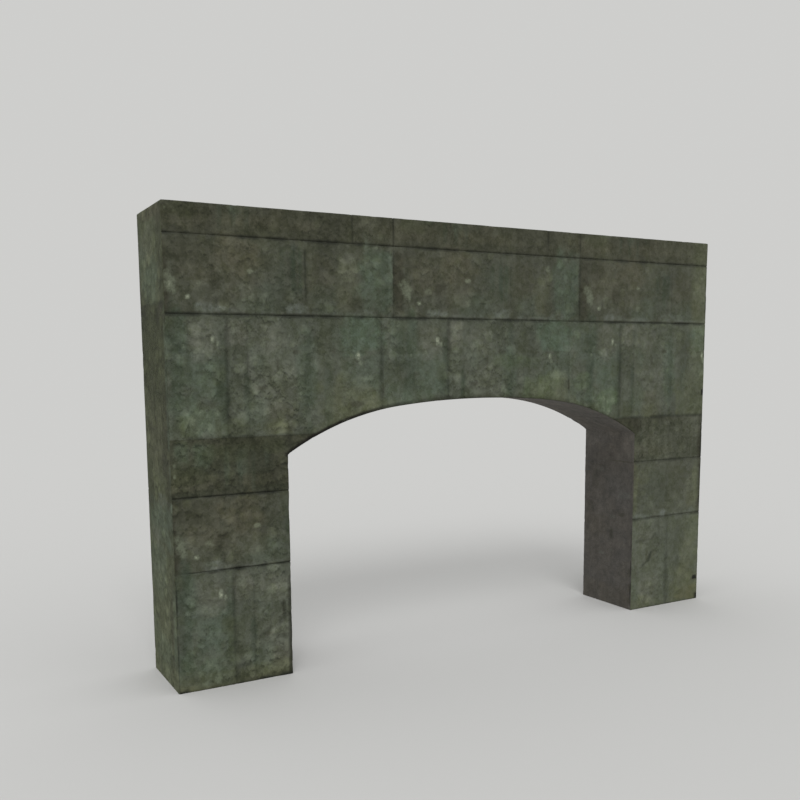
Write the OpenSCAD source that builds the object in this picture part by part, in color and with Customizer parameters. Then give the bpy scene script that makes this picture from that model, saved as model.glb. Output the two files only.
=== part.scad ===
// Masonry archway. Two piers of coursed blocks carry a flattened three-centred
// arch, a frieze course above it and a coping that is flush with the wall.
// Every block runs through the whole depth and beds face to face on the next.
// Origin: on the ground, under the middle of the wall. +X runs along the wall
// to the right as seen from the front, the front faces -Y, and +Z is up.

/* [Wall] */
// Length of the wall from end to end
wall_length = 9000; // [7500:10:12000]
// Depth of the wall from front to back
wall_depth = 1180; // [600:10:2500]

/* [Piers] */
// Width of each pier along the wall
pier_width = 1520; // [1200:10:2000]
// Height of the base blocks
base_height = 1510; // [900:10:2000]
// Height of the middle blocks of the piers
middle_height = 940; // [500:10:1400]
// Height of the springer blocks on top of the piers
springer_height = 720; // [620:10:1000]
// Length of each pier's outer base block, from the end of the wall
base_outer_length = 745; // [500:5:1000]

/* [Arch] */
// Height of the springing line above the bed of the springer blocks
springing_above_bed = 460; // [300:10:600]
// Rise of the arch from the springing line to the crown
arch_rise = 650; // [500:10:1300]
// Radius of the flat arc at the crown
crown_radius = 12000; // [9000:100:20000]
// Half the width over which the flat arc runs
crown_half_width = 1300; // [900:10:1500]

/* [Arch course] */
// Height of the course that holds the arch
arch_course_height = 1500; // [1300:10:2200]
// Length of the block at the left end
arch_left_end_length = 745; // [500:5:1400]
// Length of the block over the left haunch
arch_left_haunch_length = 2145; // [1500:5:2600]
// Length of the block between the left haunch and the crown
arch_left_shoulder_length = 1060; // [700:5:1500]
// Length of the block over the right haunch
arch_right_haunch_length = 1035; // [700:5:1500]
// Length of the block at the right end
arch_right_end_length = 1865; // [1400:5:2600]

/* [Frieze] */
// Height of the frieze course
frieze_height = 940; // [500:10:1400]
// Length of the left frieze block
frieze_left_length = 3085; // [2000:5:3800]
// Length of the right frieze block
frieze_right_length = 2705; // [2000:5:3800]

/* [Coping] */
// Height of the coping course
coping_height = 370; // [200:10:600]
// Length of the short coping block left of the middle
coping_left_short_length = 605; // [400:5:1000]
// Length of the short coping block right of the middle
coping_right_short_length = 610; // [400:5:1000]

/* [Hidden] */

// Arcs are drawn with this many sides.
arc_sides = 720;
// Cuts run this far past a face, so that no skin is left on it.
cut_past = 20;

green_grey = [0.29, 0.31, 0.26];
brown_grey = [0.28, 0.27, 0.23];
dark_olive = [0.24, 0.24, 0.19];

// Ends of the wall and of the opening along X
left_end = -wall_length / 2;
right_end = wall_length / 2;
pier_left_inner = left_end + pier_width;
pier_right_inner = right_end - pier_width;

// Beds of the courses, from the ground up
middle_bed = base_height;
springer_bed = middle_bed + middle_height;
arch_bed = springer_bed + springer_height;
frieze_bed = arch_bed + arch_course_height;
coping_bed = frieze_bed + frieze_height;
wall_top = coping_bed + coping_height;

// Upright joints of the arch course
arch_joint_1 = left_end + arch_left_end_length;
arch_joint_2 = arch_joint_1 + arch_left_haunch_length;
arch_joint_3 = arch_joint_2 + arch_left_shoulder_length;
arch_joint_5 = right_end - arch_right_end_length;
arch_joint_4 = arch_joint_5 - arch_right_haunch_length;

// Upright joints of the frieze
frieze_joint_left = left_end + frieze_left_length;
frieze_joint_right = right_end - frieze_right_length;

// Each short coping block ends over an upright joint of the frieze.
coping_joint_2 = frieze_joint_left;
coping_joint_1 = coping_joint_2 - coping_left_short_length;
coping_joint_4 = frieze_joint_right;
coping_joint_3 = coping_joint_4 - coping_right_short_length;

// The arch: a flat arc at the crown meets a tighter arc over each haunch on
// a shared tangent, and the haunch arc ends where the opening springs.
half_span = wall_length / 2 - pier_width;
springing = springer_bed + springing_above_bed;
crown = springing + arch_rise;
crown_centre = crown - crown_radius;
meeting_angle = asin(crown_half_width / crown_radius);
meeting_height = crown_centre + crown_radius * cos(meeting_angle);
to_springing = [half_span - crown_half_width, springing - meeting_height];
outward = [sin(meeting_angle), cos(meeting_angle)];
haunch_radius = -(to_springing * to_springing) / (2 * to_springing * outward);
haunch_centre = [crown_half_width, meeting_height] - haunch_radius * outward;

// Outline of the opening, seen from the front
module opening_outline() {
    translate([-half_span, -cut_past])
        square([2 * half_span, springing + cut_past]);
    intersection() {
        translate([0, crown_centre])
            circle(r = crown_radius, $fn = arc_sides);
        translate([-crown_half_width, 0])
            square([2 * crown_half_width, crown + cut_past]);
    }
    for (side = [0, 1])
        mirror([side, 0])
            intersection() {
                translate(haunch_centre)
                    circle(r = haunch_radius, $fn = arc_sides);
                translate([crown_half_width - cut_past, 0])
                    square([half_span - crown_half_width + cut_past, crown]);
            }
}

// A plain block between two upright joints and two beds
module block(left, right, bed, top) {
    translate([left, -wall_depth / 2, bed])
        cube([right - left, wall_depth, top - bed]);
}

// A block that the opening cuts into
module arched_block(left, right, bed, top) {
    difference() {
        block(left, right, bed, top);
        translate([0, wall_depth / 2 + cut_past, 0])
            rotate([90, 0, 0])
                linear_extrude(wall_depth + 2 * cut_past)
                    opening_outline();
    }
}

module left_base_outer() {
    color(green_grey)
        block(left_end, left_end + base_outer_length, 0, middle_bed);
}

module left_base_inner() {
    color(green_grey)
        block(left_end + base_outer_length, pier_left_inner, 0, middle_bed);
}

module left_middle() {
    color(brown_grey)
        block(left_end, pier_left_inner, middle_bed, springer_bed);
}

module left_springer() {
    color(dark_olive)
        arched_block(left_end, 0, springer_bed, arch_bed);
}

module right_base_outer() {
    color(green_grey)
        block(right_end - base_outer_length, right_end, 0, middle_bed);
}

module right_base_inner() {
    color(green_grey)
        block(pier_right_inner, right_end - base_outer_length, 0, middle_bed);
}

module right_middle() {
    color(brown_grey)
        block(pier_right_inner, right_end, middle_bed, springer_bed);
}

module right_springer() {
    color(dark_olive)
        arched_block(0, right_end, springer_bed, arch_bed);
}

module arch_left_end() {
    color(green_grey)
        arched_block(left_end, arch_joint_1, arch_bed, frieze_bed);
}

module arch_left_haunch() {
    color(green_grey)
        arched_block(arch_joint_1, arch_joint_2, arch_bed, frieze_bed);
}

module arch_left_shoulder() {
    color(green_grey)
        arched_block(arch_joint_2, arch_joint_3, arch_bed, frieze_bed);
}

module arch_crown() {
    color(green_grey)
        arched_block(arch_joint_3, arch_joint_4, arch_bed, frieze_bed);
}

module arch_right_haunch() {
    color(green_grey)
        arched_block(arch_joint_4, arch_joint_5, arch_bed, frieze_bed);
}

module arch_right_end() {
    color(green_grey)
        arched_block(arch_joint_5, right_end, arch_bed, frieze_bed);
}

module frieze_left() {
    color(brown_grey)
        block(left_end, frieze_joint_left, frieze_bed, coping_bed);
}

module frieze_middle() {
    color(brown_grey)
        block(frieze_joint_left, frieze_joint_right, frieze_bed, coping_bed);
}

module frieze_right() {
    color(brown_grey)
        block(frieze_joint_right, right_end, frieze_bed, coping_bed);
}

module coping_left() {
    color(dark_olive)
        block(left_end, coping_joint_1, coping_bed, wall_top);
}

module coping_left_short() {
    color(dark_olive)
        block(coping_joint_1, coping_joint_2, coping_bed, wall_top);
}

module coping_middle() {
    color(dark_olive)
        block(coping_joint_2, coping_joint_3, coping_bed, wall_top);
}

module coping_right_short() {
    color(dark_olive)
        block(coping_joint_3, coping_joint_4, coping_bed, wall_top);
}

module coping_right() {
    color(dark_olive)
        block(coping_joint_4, right_end, coping_bed, wall_top);
}

left_base_outer();
left_base_inner();
left_middle();
left_springer();
right_base_outer();
right_base_inner();
right_middle();
right_springer();
arch_left_end();
arch_left_haunch();
arch_left_shoulder();
arch_crown();
arch_right_haunch();
arch_right_end();
frieze_left();
frieze_middle();
frieze_right();
coping_left();
coping_left_short();
coping_middle();
coping_right_short();
coping_right();
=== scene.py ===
import itertools
import math

import bpy
import numpy as np
from mathutils import Matrix, Vector


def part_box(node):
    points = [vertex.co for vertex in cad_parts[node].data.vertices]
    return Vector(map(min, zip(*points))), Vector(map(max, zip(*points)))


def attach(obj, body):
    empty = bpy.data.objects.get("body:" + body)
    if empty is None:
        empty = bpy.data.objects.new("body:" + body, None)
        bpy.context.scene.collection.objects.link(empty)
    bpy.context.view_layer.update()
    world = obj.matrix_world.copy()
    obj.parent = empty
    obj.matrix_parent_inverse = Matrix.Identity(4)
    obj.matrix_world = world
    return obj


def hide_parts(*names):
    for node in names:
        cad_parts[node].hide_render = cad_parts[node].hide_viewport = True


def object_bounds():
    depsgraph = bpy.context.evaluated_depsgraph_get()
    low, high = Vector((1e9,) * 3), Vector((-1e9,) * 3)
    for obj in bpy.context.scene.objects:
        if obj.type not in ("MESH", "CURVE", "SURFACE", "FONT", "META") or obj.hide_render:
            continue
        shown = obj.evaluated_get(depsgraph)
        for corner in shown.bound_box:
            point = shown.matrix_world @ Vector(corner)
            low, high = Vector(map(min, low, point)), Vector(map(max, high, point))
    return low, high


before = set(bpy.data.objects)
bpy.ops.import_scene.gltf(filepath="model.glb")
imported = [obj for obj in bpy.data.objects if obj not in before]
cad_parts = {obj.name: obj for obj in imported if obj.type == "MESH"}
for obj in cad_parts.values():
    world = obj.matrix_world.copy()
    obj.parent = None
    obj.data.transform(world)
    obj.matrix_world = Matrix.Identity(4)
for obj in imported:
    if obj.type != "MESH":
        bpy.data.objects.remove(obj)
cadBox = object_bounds()

# Sizes are in metres, colours in linear light.

hair = 0.001    # how near a point counts as lying on a bed or a face

cameraView = {
    "place": (-7.290, -11.267, 4.066),
    "turn": 29.125,       # degrees to the right of straight on
    "tilt": -7.018,       # degrees, down is negative
    "roll": -0.451,
    "lens": 40.23,        # mm on a 36 mm sensor
    "rise": 0.0915,       # vertical shift
}


def makeCamera(view):
    turn, tilt, roll = (math.radians(view[k]) for k in ("turn", "tilt", "roll"))
    forward = Vector((math.sin(turn) * math.cos(tilt), math.cos(turn) * math.cos(tilt), math.sin(tilt)))
    side = Vector((math.cos(turn), -math.sin(turn), 0))
    up = side.cross(forward)
    across = side * math.cos(roll) + up * math.sin(roll)
    upright = up * math.cos(roll) - side * math.sin(roll)
    data = bpy.data.cameras.new("camera")
    data.sensor_width = 36
    data.lens = view["lens"]
    data.shift_y = view["rise"]
    data.clip_end = 500
    camera = bpy.data.objects.new("camera", data)
    bpy.context.collection.objects.link(camera)
    axes = Matrix((across, upright, -forward)).transposed().to_4x4()
    camera.matrix_world = Matrix.Translation(view["place"]) @ axes
    bpy.context.scene.camera = camera


studio = {
    "floorRadius": 160,
    "floorSides": 96,
    "floorColour": (0.50, 0.50, 0.49),
    "floorRoughness": 0.95,
    "sky": 1.00,          # strength of the even light from all round
    "sunStrength": 1.00,
    "sunSpread": 28,      # degrees, for soft shadows
    "sunTurn": -22,       # degrees, where the sun stands seen from the front
    "sunHeight": 48,
}


def makeStudio(values):
    mesh = bpy.data.meshes.new("studioFloor")
    radius, sides = values["floorRadius"], values["floorSides"]
    turns = [2 * math.pi * i / sides for i in range(sides)]
    ring = [(radius * math.cos(turn), radius * math.sin(turn), 0) for turn in turns]
    mesh.from_pydata(ring, [], [list(range(sides))])
    floor = bpy.data.objects.new("studioFloor", mesh)
    bpy.context.collection.objects.link(floor)
    material = bpy.data.materials.new("studioFloor")
    material.use_nodes = True
    shader = material.node_tree.nodes["Principled BSDF"]
    shader.inputs["Base Color"].default_value = (*values["floorColour"], 1)
    shader.inputs["Roughness"].default_value = values["floorRoughness"]
    shader.inputs["Specular IOR Level"].default_value = 0.0
    mesh.materials.append(material)

    world = bpy.data.worlds.new("studio")
    bpy.context.scene.world = world
    world.use_nodes = True
    nodes, links = world.node_tree.nodes, world.node_tree.links
    nodes.clear()
    rays = nodes.new("ShaderNodeLightPath")
    either, seen = nodes.new("ShaderNodeMath"), nodes.new("ShaderNodeMath")
    either.operation = seen.operation = "MAXIMUM"
    links.new(rays.outputs["Is Camera Ray"], either.inputs[0])
    links.new(rays.outputs["Is Glossy Ray"], either.inputs[1])
    links.new(either.outputs[0], seen.inputs[0])
    links.new(rays.outputs["Is Transmission Ray"], seen.inputs[1])
    light = nodes.new("ShaderNodeBackground")
    light.inputs["Color"].default_value = (1, 1, 1, 1)
    light.inputs["Strength"].default_value = values["sky"]
    shown = nodes.new("ShaderNodeBackground")
    # as bright as the floor looks under this light, so that the two meet without a line
    lit = values["sky"] + values["sunStrength"] * math.sin(math.radians(values["sunHeight"])) / math.pi
    shown.inputs["Color"].default_value = (*(c * lit for c in values["floorColour"]), 1)
    choice = nodes.new("ShaderNodeMixShader")
    links.new(seen.outputs[0], choice.inputs[0])
    links.new(light.outputs[0], choice.inputs[1])
    links.new(shown.outputs[0], choice.inputs[2])
    output = nodes.new("ShaderNodeOutputWorld")
    links.new(choice.outputs[0], output.inputs["Surface"])

    sun = bpy.data.lights.new("softSun", "SUN")
    sun.energy = values["sunStrength"]
    sun.angle = math.radians(values["sunSpread"])
    lamp = bpy.data.objects.new("softSun", sun)
    turn, height = math.radians(values["sunTurn"]), math.radians(values["sunHeight"])
    toSun = Vector((math.sin(turn) * math.cos(height), -math.cos(turn) * math.cos(height), math.sin(height)))
    lamp.rotation_euler = toSun.to_track_quat("Z", "Y").to_euler()
    bpy.context.collection.objects.link(lamp)
    bpy.context.scene.view_settings.view_transform = "Standard"


makeCamera(cameraView)
makeStudio(studio)
print("camera and studio made")

# The noises that break up the shapes and the weathering: size of a lump, seed, and layers of finer lumps
noises = {
    "largeRelief": (0.55, 3, 2),
    "smallRelief": (0.13, 5, 3),
    "worn": (0.07, 23, 2),
    "broken": (0.12, 41, 2),
    "crackDrift": (0.11, 29, 3),
    "ragged": (0.14, 61, 4),
    "wash": ((0.16, 0.16, 0.9), 71, 3),
    "fleck": (0.075, 67, 2),
    "broad": (0.6, 83, 2),
    "cloud": (0.45, 89, 2),
    "spotty": (0.16, 53, 3),
    "waver": (0.3, 91, 4),
    "endGrain": (0.22, 101, 4),
}

# Large odd numbers that scatter the cells of the noise
scatter = (374761393, 668265263, 1440662683, 974634777, 1274126177)


def cellNumber(cell, seed):
    # a number from 0 to 1 for each whole-number cell
    n = cell[..., 0] * scatter[0] + cell[..., 1] * scatter[1] + cell[..., 2] * scatter[2] + seed * scatter[3]
    n = (n ^ (n >> 13)) * scatter[4]
    n = n ^ (n >> 16)
    return (n & 0xFFFFFF) / 0xFFFFFF


def softNoise(points, size, seed):
    # from 0 to 1, with lumps of about the given size, which may differ by axis
    scaled = points / np.asarray(size, float)
    base = np.floor(scaled).astype(np.int64)
    part = scaled - base
    part = part * part * (3 - 2 * part)
    total = np.zeros(points.shape[:-1])
    for corner in itertools.product((0, 1), repeat=3):
        share = np.prod(np.where(corner, part, 1 - part), axis=-1)
        total += share * cellNumber(base + np.array(corner), seed)
    return total


def noiseAt(points, name):
    # each layer is half the size of the one before and counts for less
    size, seed, layers = noises[name]
    total, weight = 0.0, 0.0
    for layer in range(layers):
        share = 0.55 ** layer
        total = total + share * softNoise(points, np.asarray(size, float) / 2 ** layer, seed + 17 * layer)
        weight += share
    return total / weight


def rise(value, low, high):
    part = np.clip((value - low) / (high - low), 0, 1)
    return part * part * (3 - 2 * part)


def cornersOf(node):
    return np.array([v.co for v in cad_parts[node].data.vertices], float)


springerCorners = cornersOf("right_springer")
crownCorners = cornersOf("arch_crown")
arch = {
    "crownRadius": 12.0,
    "crownHalfWidth": 1.3,
    "steps": 6000,    # for finding the opening's edge from its height
    "halfSpan": float(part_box("right_base_inner")[0][0]),
}
atJamb = np.abs(springerCorners[:, 0] - arch["halfSpan"]) < hair
underside = crownCorners[:, 2] < crownCorners[:, 2].max() - 0.1
arch["springing"] = float(springerCorners[atJamb, 2].max())
arch["crown"] = float(crownCorners[underside, 2].max())


def archHeights(x):
    # height of the opening's edge at x: a flat arc at the crown and a tighter one over each haunch
    across = np.minimum(np.abs(x), arch["halfSpan"])
    radius, half = arch["crownRadius"], arch["crownHalfWidth"]
    centre = arch["crown"] - radius
    meeting = centre + math.sqrt(radius ** 2 - half ** 2)
    outward = np.array([half, meeting - centre]) / radius
    toSpringing = np.array([arch["halfSpan"] - half, arch["springing"] - meeting])
    haunchRadius = -(toSpringing @ toSpringing) / (2 * toSpringing @ outward)
    haunchCentre = np.array([half, meeting]) - haunchRadius * outward
    flat = centre + np.sqrt(radius ** 2 - np.minimum(across, half) ** 2)
    tight = haunchCentre[1] + np.sqrt(haunchRadius ** 2 - (np.maximum(across, half) - haunchCentre[0]) ** 2)
    return np.where(across < half, flat, tight)


wallEnd = float(cadBox[1][0])
wallFace = float(cadBox[1][1])
wallTop = float(cadBox[1][2])
beds = {
    "middle": float(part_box("left_middle")[0][2]),
    "springer": float(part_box("left_springer")[0][2]),
    "arch": float(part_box("arch_left_end")[0][2]),
    "coping": float(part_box("coping_left")[0][2]),
}

# The weathering repeats along and up the wall.
repeat = {
    "start": float(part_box("arch_left_end")[1][0]),
    "along": 3.2,
    "up": float(beds["arch"]),
    "endScale": 1.51,     # the end faces carry the same marks drawn larger
    "endStart": -0.479,
}

# Width and depth of the gap or worn edge, how dirty it is, and how far the dirt spreads over the face
edgeValues = ("width", "depth", "dirt", "halo")
edgeShapes = {
    "deepBed": (0.018, 0.013, 0.80, 0.038),
    "bed": (0.017, 0.010, 0.62, 0.039),
    "paleBed": (0.015, 0.006, 0.52, 0.044),
    "upright": (0.010, 0.005, 0.34, 0.036),
    "faint": (0.009, 0.004, 0.42, 0.030),
    "worn": (0.020, 0.005, 0.34, 0.055),
    "faded": (0.018, 0.004, 0.18, 0.055),
    "tight": (0.006, 0.002, 0.26, 0.030),
    "ground": (0.014, 0.006, 0.70, 0.060),
    "dryGround": (0.010, 0.004, 0.35, 0.030),
    "stained": (0.006, 0.002, 0.45, 0.042),
    "arris": (0.014, 0.005, 0.12, 0.030),
    "corner": (0.011, 0.004, 0.06, 0.030),
    "soiled": (0.012, 0.004, 0.70, 0.032),
    "opening": (0.011, 0.004, 0.05, 0.030),
    "underside": (0.020, 0.008, 0.05, 0.030),
    "deepUpright": (0.010, 0.006, 0.85, 0.036),
}

# The left, right, lower and upper edge of each block
blocks = {
    "left_base_outer": ("soiled", "worn", "ground", "deepBed"),
    "left_base_inner": ("worn", "opening", "ground", "deepBed"),
    "left_middle": ("corner", "opening", "deepBed", "deepBed"),
    "left_springer": ("corner", "opening", "deepBed", "tight"),
    "right_base_inner": ("opening", "faded", "dryGround", "paleBed"),
    "right_base_outer": ("faded", "corner", "dryGround", "paleBed"),
    "right_middle": ("opening", "corner", "paleBed", "paleBed"),
    "right_springer": ("opening", "corner", "paleBed", "stained"),
    "arch_left_end": ("corner", "worn", "tight", "bed"),
    "arch_left_haunch": ("worn", "worn", "tight", "bed"),
    "arch_left_shoulder": ("worn", "worn", "opening", "bed"),
    "arch_crown": ("worn", "faded", "opening", "bed"),
    "arch_right_haunch": ("faded", "worn", "tight", "bed"),
    "arch_right_end": ("worn", "corner", "stained", "bed"),
    "frieze_left": ("corner", "upright", "bed", "bed"),
    "frieze_middle": ("upright", "upright", "bed", "bed"),
    "frieze_right": ("upright", "corner", "bed", "bed"),
    "coping_left": ("corner", "faint", "bed", "arris"),
    "coping_left_short": ("faint", "deepUpright", "bed", "arris"),
    "coping_middle": ("deepUpright", "faint", "bed", "arris"),
    "coping_right_short": ("faint", "faint", "bed", "arris"),
    "coping_right": ("faint", "corner", "bed", "arris"),
}

blockMesh = {
    "faceStep": 0.025,
    "depthStep": 0.060,
    "edgeSteps": (0.0, 0.005, 0.011, 0.019, 0.029, 0.041),
    "lineRoom": 0.002,        # lines of points keep at least this far apart
    "crackRoom": 0.005,       # and this far from a crack
    "largeRelief": 0.0045,    # swell over half a metre
    "smallRelief": 0.0028,    # lumps of a hand's width
    "reliefFade": 0.12,       # the swell dies away over this length from a face or a side
    "outlineSwell": 0.12,     # share of the swell that shows at the outer edges
    "recessFade": 0.25,       # the worn places die away over this length behind the face
    "sharpAngle": 50,         # degrees
}


def gridLines(low, high, step, extra=()):
    steps = np.array(blockMesh["edgeSteps"])
    count = max(2, math.ceil((high - low - 2 * steps[-1]) / step) + 1)
    inner = np.linspace(low + steps[-1], high - steps[-1], count)
    lines = np.concatenate([low + steps, inner, high - steps])
    lines = [v for v in lines if all(abs(v - e) > blockMesh["crackRoom"] for e in extra)]
    room = blockMesh["lineRoom"]
    kept = [low]
    for line in sorted(lines + list(extra)):
        if line - kept[-1] > room and high - line > room:
            kept.append(line)
    return np.array(kept + [high])


crackShape = {
    "width": 0.010,
    "depth": 0.005,
    "drift": 0.014,           # how far a crack wanders to each side
    "driftFade": (0.01, 0.07),
    "core": 0.002,
    "dark": 0.75,
    "soiled": 0.55,           # how dark it is beside the crack, out to the stain's reach
    "stain": 0.040,
    "endFade": 0.12,
    "bedRoom": 0.02,
    "sideRoom": 0.05,
    "shortest": 0.05,
    "fading": (-1.0, 0.45),   # right of this place the cracks are only so strong
}

# Upright cracks in the repeating marks: along, from, to, strength
cracks = (
    (0.262, 0.02, 1.48, 0.36),
    (1.064, 1.62, 2.40, 0.75),
    (3.085, 1.55, 1.78, 0.60),
    (3.045, 1.70, 2.43, 0.25),
    (0.470, 2.86, 3.16, 0.45),
    (0.112, 2.52, 2.72, 0.45),
    (2.165, 0.30, 1.50, 0.40),
    (1.430, 1.60, 2.20, 0.22),
)


def cracksIn(left, right, bottom, top):
    # the place, lower and upper end and strength of each crack that runs through the block
    found = []
    fadePlace, fadeShare = crackShape["fading"]
    for along, low, high, strength in cracks:
        for turn, storey in itertools.product(range(-1, 3), (0, 1)):
            x = repeat["start"] + along + turn * repeat["along"]
            start = max(bottom + crackShape["bedRoom"], low + storey * repeat["up"])
            end = min(top - crackShape["bedRoom"], high + storey * repeat["up"])
            inside = left + crackShape["sideRoom"] < x < right - crackShape["sideRoom"]
            if inside and end - start > crackShape["shortest"]:
                found.append((x, start, end, strength * (fadeShare if x > fadePlace else 1)))
    return found


def outlineOf(name):
    # the grid of points over a block's face
    low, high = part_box(name)
    left, right, bottom, top = float(low[0]), float(high[0]), float(low[2]), float(high[2])
    found = cracksIn(left, right, bottom, top)
    beside = [c[0] + side * crackShape["width"] for c in found for side in (-1, 0, 1)]
    xs = gridLines(left, right, blockMesh["faceStep"], beside)
    zs = gridLines(bottom, top, blockMesh["faceStep"])
    across = (xs - left) / (right - left)
    upward = (zs - bottom) / (top - bottom)
    x = np.repeat(xs[:, None], len(zs), 1)
    z = np.repeat(zs[None, :], len(xs), 0)
    if name.startswith("arch_"):
        floor = np.maximum(archHeights(xs), beds["arch"])
        z = floor[:, None] + upward[None, :] * (top - floor)[:, None]
    if name.endswith("_springer"):
        half = np.linspace(arch["halfSpan"], 0, arch["steps"])
        edge = np.interp(zs, archHeights(half), half)
        if name.startswith("left"):
            x = left + across[:, None] * (-edge - left)[None, :]
        else:
            x = edge[None, :] + across[:, None] * (right - edge)[None, :]
    return x, z, found


def sidesOf(x, z, kinds):
    # for the left, right, lower and upper side: how far from it each point lies,
    # the direction out of the block and the values of its edge
    flats = ((x[0], z[0], -1), (x[-1], z[-1], 1), (x[:, 0], z[:, 0], 1), (x[:, -1], z[:, -1], -1))
    sides = []
    for place, ((sx, sz, turn), kind) in enumerate(zip(flats, kinds)):
        alongX, alongZ = np.gradient(sx), np.gradient(sz)
        length = np.hypot(alongX, alongZ)
        outward = turn * np.stack([alongZ, -alongX], -1) / length[:, None]
        spans = (sz > beds["arch"] - hair) & (archHeights(sx) > beds["arch"] - hair)
        names = np.where(spans & (kind == "tight") & (place == 2), "opening", kind)
        names = np.where((names == "opening") & (sz > arch["springing"] + hair), "underside", names)
        values = {k: np.array([edgeShapes[n][i] for n in names]) for i, k in enumerate(edgeValues)}
        values["open"] = np.isin(names, ("arris", "corner", "soiled", "opening", "underside")).astype(float)
        values["jamb"] = np.isin(names, ("opening", "underside")).astype(float)
        spread = (lambda v: v[None, :]) if place < 2 else (lambda v: v[:, None])
        values = {k: np.broadcast_to(spread(v), x.shape) for k, v in values.items()}
        outward = outward[None, :] if place < 2 else outward[:, None]
        values["outward"] = np.broadcast_to(outward, x.shape + (2,))
        straight = (x - x[:1], x[-1:] - x, z - z[:, :1], z[:, -1:] - z)[place]
        values["away"] = straight * np.abs(values["outward"][..., int(place > 1)])
        sides.append(values)
    return sides


def reliefAt(points):
    large, small = noiseAt(points, "largeRelief") - 0.5, noiseAt(points, "smallRelief") - 0.5
    return 2 * (blockMesh["largeRelief"] * large + blockMesh["smallRelief"] * small)


def fall(distance, width, power=1.7):
    return np.clip(1 - distance / width, 0, 1) ** power


# Where lime has filled the first joint of the left pier, by its outer corner
lime = {
    "edge": (-4.42, -4.24),
    "reach": 0.1,
    "filled": 0.85,
    "cleaned": 0.90,
}


def limeFilled(flatX, flatZ):
    return (1 - rise(flatX, *lime["edge"])) * (np.abs(flatZ - beds["middle"]) < lime["reach"])


# How wide and deep an edge is worn, as shares: plain, more where it is ragged, more where it is broken
wear = {
    "openWidth": (1.0, 0.0, 0.8),
    "openDepth": (0.7, 0.6, 0.8),
    "jointWidth": (0.4, 1.2, 0.8),
    "jointDepth": (0.3, 1.4, 0.0),
}

# The noise at which an edge begins to be broken, and is fully broken
brokenFrom = (0.62, 0.80)

# How far the upper corners of the wall are rounded off
topCorner = {"reach": 0.02, "cut": 0.006}


def edgeWear(points, flatX, flatZ, inward, sides, relief):
    # how deep the face is worn by its sides, and how far the outline is moved
    ragged = noiseAt(points, "worn")
    broken = rise(noiseAt(points, "broken"), *brokenFrom)
    shares = {k: plain + more * ragged + most * broken for k, (plain, more, most) in wear.items()}
    limed = lime["filled"] * limeFilled(flatX, flatZ)
    recess = np.zeros(len(points))
    shift = np.zeros((len(points), 2))
    for side in sides:
        free = side["open"]
        width = side["width"] * np.where(free > 0, shares["openWidth"], shares["jointWidth"])
        cut = side["depth"] * np.where(free > 0, shares["openDepth"], shares["jointDepth"])
        cut = cut * (1 - limed * (1 - free))
        near = fall(side["away"], width)
        recess += cut * near
        rounded = cut * near * fall(inward, width) * free
        edge = 1 - rise(side["away"], 0, blockMesh["reliefFade"])
        swell = blockMesh["outlineSwell"] * relief * edge * free
        shift += side["outward"] * (swell - rounded)[:, None]

    # the joints and corners that reach the top of the wall
    top, reach = sides[3], topCorner["reach"]
    topJoint = np.zeros(len(points))
    for side in sides[:2]:
        topJoint += side["depth"] * fall(side["away"], side["width"]) * (1 - side["open"])
        both = side["open"] * top["open"] * fall(side["away"], reach) * fall(top["away"], reach)
        shift -= topCorner["cut"] * both[:, None] * (side["outward"] + top["outward"])
    shift[:, 1] -= topJoint * top["open"] * (top["away"] < hair)
    return recess, shift


def cutCracks(points, flatX, flatZ, onFace, found, recess, shift):
    # cuts the cracks into the face, and gives how dark each point is for them.
    # At one height they all wander to the same side.
    drift = 2 * crackShape["drift"] * (noiseAt(points * (0, 0, 1) + (0, 3, 0), "crackDrift") - 0.5)
    fade = crackShape["endFade"]
    mark = np.zeros(len(points))
    for place, start, end, strength in found:
        away = np.abs(flatX - place)
        within = rise(flatZ, start, start + fade) * (1 - rise(flatZ, end - fade, end)) * onFace
        shift[:, 0] += drift * (1 - rise(away, *crackShape["driftFade"])) * within
        core = (away < crackShape["core"]) * within * strength
        recess += crackShape["depth"] * core
        mark = np.maximum(mark, crackShape["dark"] * core)
        mark = np.maximum(mark, crackShape["soiled"] * fall(away, crackShape["stain"]) * within * strength)
    return mark


def depthLines():
    # how far from the front face each ring of points round the sides lies
    steps = np.array(blockMesh["edgeSteps"])[1:]
    count = round(2 * (wallFace - steps[-1]) / blockMesh["depthStep"])
    middle = np.linspace(steps[-1], 2 * wallFace - steps[-1], count)
    return np.concatenate([steps[:-1], middle, 2 * wallFace - steps[:-1][::-1]])


def ringOf(nx, nz):
    # the columns and rows of the outline, once round from its lower left
    columns = (np.arange(nx), np.full(nz - 1, nx - 1), np.arange(nx - 2, -1, -1), np.zeros(nz - 2, int))
    rows = (np.zeros(nx, int), np.arange(1, nz), np.full(nx - 1, nz - 1), np.arange(nz - 2, 0, -1))
    return np.concatenate(columns), np.concatenate(rows)


def quadsOf(nx, nz, levels):
    # the front, the back, and the sides between one ring of points and the next
    cell = (np.arange(nx - 1)[:, None] * nz + np.arange(nz - 1)[None, :]).ravel()
    front = np.stack([cell, cell + nz, cell + nz + 1, cell + 1], -1)
    back = front[:, ::-1] + nx * nz
    following = np.roll(levels, -1, 1)
    around = np.stack([levels[:-1], levels[1:], following[1:], following[:-1]], -1).reshape(-1, 4)
    return np.vstack([front, back, around])


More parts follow.
